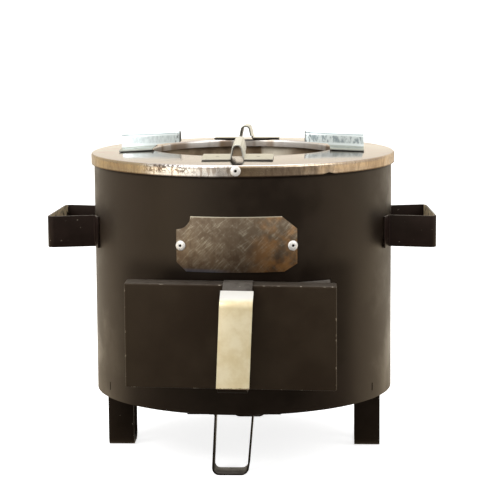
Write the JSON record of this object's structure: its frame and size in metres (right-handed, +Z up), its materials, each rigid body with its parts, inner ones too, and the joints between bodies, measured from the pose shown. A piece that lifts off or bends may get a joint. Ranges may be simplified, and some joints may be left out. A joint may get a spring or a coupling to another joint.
{
  "type": "charcoal stove",
  "caption": "Round sheet-steel charcoal stove with pull-out ash drawer, lift-out grate, pot rests on a conical top ring, strip legs and side loop handles.",
  "frame": {"origin": "on the floor, in the middle of the footprint of the whole object with its drawer shut", "axes": "+Z up, -Y out of the drawer front, +X towards the right side handle as seen facing the drawer"},
  "size_m": [0.3742, 0.3428, 0.3106],
  "materials": {
    "black_paint": "satin heat-resistant black paint",
    "polished_steel": "polished, lightly stained sheet",
    "galvanised_steel": "galvanised with spangle",
    "bare_steel": "bare tan-toned sheet, dull",
    "name_plate_steel": "brushed and scratched, dark brown steel",
    "rivet_aluminium": "plain aluminium",
    "fire_dark_steel": "heat-darkened sheet",
    "cast_iron": "raw casting",
    "ceramic_wool": "packed ceramic wool"
  },
  "bodies": {
    "stove": {"body_shell": "black_paint", "base_plate": "black_paint", "top_plate": "polished_steel", "shelf_plate": "black_paint", "firebox_liner": "fire_dark_steel", "insulation_ring": "ceramic_wool", "drawer_duct": "black_paint", "pot_rest_front": "galvanised_steel", "pot_rest_right": "galvanised_steel", "pot_rest_rear": "galvanised_steel", "pot_rest_left": "galvanised_steel", "leg_front": "black_paint", "leg_right": "black_paint", "leg_rear": "black_paint", "leg_left": "black_paint", "handle_right": "black_paint", "handle_left": "black_paint", "name_plate": "name_plate_steel", "name_plate_rivet_left": "rivet_aluminium", "name_plate_rivet_right": "rivet_aluminium", "rim_rivet_1": "rivet_aluminium", "rim_rivet_2": "rivet_aluminium", "rim_rivet_3": "rivet_aluminium"},
    "drawer": {"drawer_front": "black_paint", "ash_tray": "black_paint", "drawer_handle": "black_paint", "drawer_grip": "bare_steel"},
    "grate": {"grate": "cast_iron"}
  },
  "joints": [
    {"name": "drawer_slide", "type": "slide", "parent": "stove", "child": "drawer", "axis": [0, -1, 0], "range_m": [0, 0.2]},
    {"name": "grate_lift", "type": "slide", "parent": "stove", "child": "grate", "axis": [0, 0, 1], "range_m": [0, 0.13]}
  ]
}
